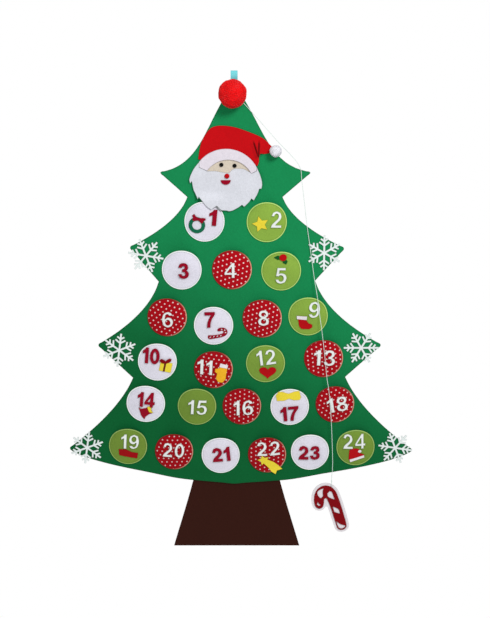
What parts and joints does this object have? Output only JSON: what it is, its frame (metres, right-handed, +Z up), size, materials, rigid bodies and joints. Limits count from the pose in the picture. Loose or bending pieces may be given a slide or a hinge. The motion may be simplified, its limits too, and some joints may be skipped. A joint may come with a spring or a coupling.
{
  "type": "felt advent calendar",
  "caption": "Flat felt Christmas tree wall calendar with numbered felt pockets, a bearded head, snowflakes and a candy cane marker hanging on a string.",
  "frame": {"origin": "top of the inside of the hanging loop, where a nail or hook holds the calendar", "axes": "+Z up, +X to the right as seen from the front, -Y out of the front of the calendar"},
  "size_m": [0.6935, 0.0561, 0.972],
  "materials": {
    "tree_felt": "matte felt",
    "trunk_felt": "matte felt",
    "white_felt": "matte felt",
    "green_felt": "matte felt",
    "red_felt": "matte felt",
    "hat_felt": "matte felt",
    "face_felt": "matte felt",
    "yellow_felt": "matte felt",
    "orange_felt": "matte felt",
    "leaf_felt": "matte felt",
    "black_felt": "matte felt",
    "nose_felt": "matte felt",
    "red_yarn": "fluffy yarn",
    "white_yarn": "fluffy yarn",
    "blue_ribbon": "woven ribbon",
    "white_thread": "twisted thread"
  },
  "bodies": {
    "calendar": {"tree_panel": "tree_felt", "trunk": "trunk_felt", "hanging_loop": "blue_ribbon", "top_pompom": "red_yarn", "pocket_01": "white_felt", "pocket_02": "green_felt", "pocket_03": "white_felt", "pocket_04": "red_felt", "pocket_05": "green_felt", "pocket_06": "red_felt", "pocket_07": "white_felt", "pocket_08": "red_felt", "pocket_09": "green_felt", "pocket_10": "white_felt", "pocket_11": "red_felt", "pocket_12": "green_felt", "pocket_13": "red_felt", "pocket_14": "white_felt", "pocket_15": "green_felt", "pocket_16": "red_felt", "pocket_17": "white_felt", "pocket_18": "red_felt", "pocket_19": "green_felt", "pocket_20": "red_felt", "pocket_21": "white_felt", "pocket_22": "red_felt", "pocket_23": "white_felt", "pocket_24": "green_felt", "wreath_figure_01": "leaf_felt", "star_figure_02": "yellow_felt", "holly_figure_05": "leaf_felt", "cane_figure_07": "red_felt", "stocking_figure_09": "red_felt", "gift_figure_10": "yellow_felt", "mitten_figure_11": "orange_felt", "heart_figure_12": "red_felt", "bell_figure_14": "red_felt", "bow_figure_17": "yellow_felt", "scarf_figure_19": "red_felt", "comet_figure_22": "yellow_felt", "hat_figure_24": "red_felt", "snowflake_upper_left": "white_felt", "snowflake_upper_right": "white_felt", "snowflake_middle_left": "white_felt", "snowflake_middle_right": "white_felt", "snowflake_lower_left": "white_felt", "snowflake_lower_right": "white_felt", "santa_hat": "hat_felt", "santa_face": "face_felt", "santa_beard": "white_felt", "santa_hat_brim": "white_felt", "hat_pompom": "white_yarn", "santa_eye_left": "black_felt", "santa_eye_right": "black_felt", "santa_nose": "nose_felt", "santa_mouth": "red_felt", "marker_string": "white_thread"},
    "thread": {"marker_thread": "white_thread"},
    "marker": {"candy_cane_backing": "white_felt", "candy_cane_front": "red_felt"}
  },
  "joints": [
    {"name": "marker_turn", "type": "hinge", "parent": "calendar", "child": "thread", "pos_m": [0.1965, -0.01345, -0.8305], "axis": [0, 0, 1], "range_deg": [-80, 80]},
    {"name": "marker_swing", "type": "hinge", "parent": "thread", "child": "marker", "pos_m": [0.1965, -0.01345, -0.8305], "axis": [0, 1, 0], "range_deg": [-45, 45]}
  ]
}
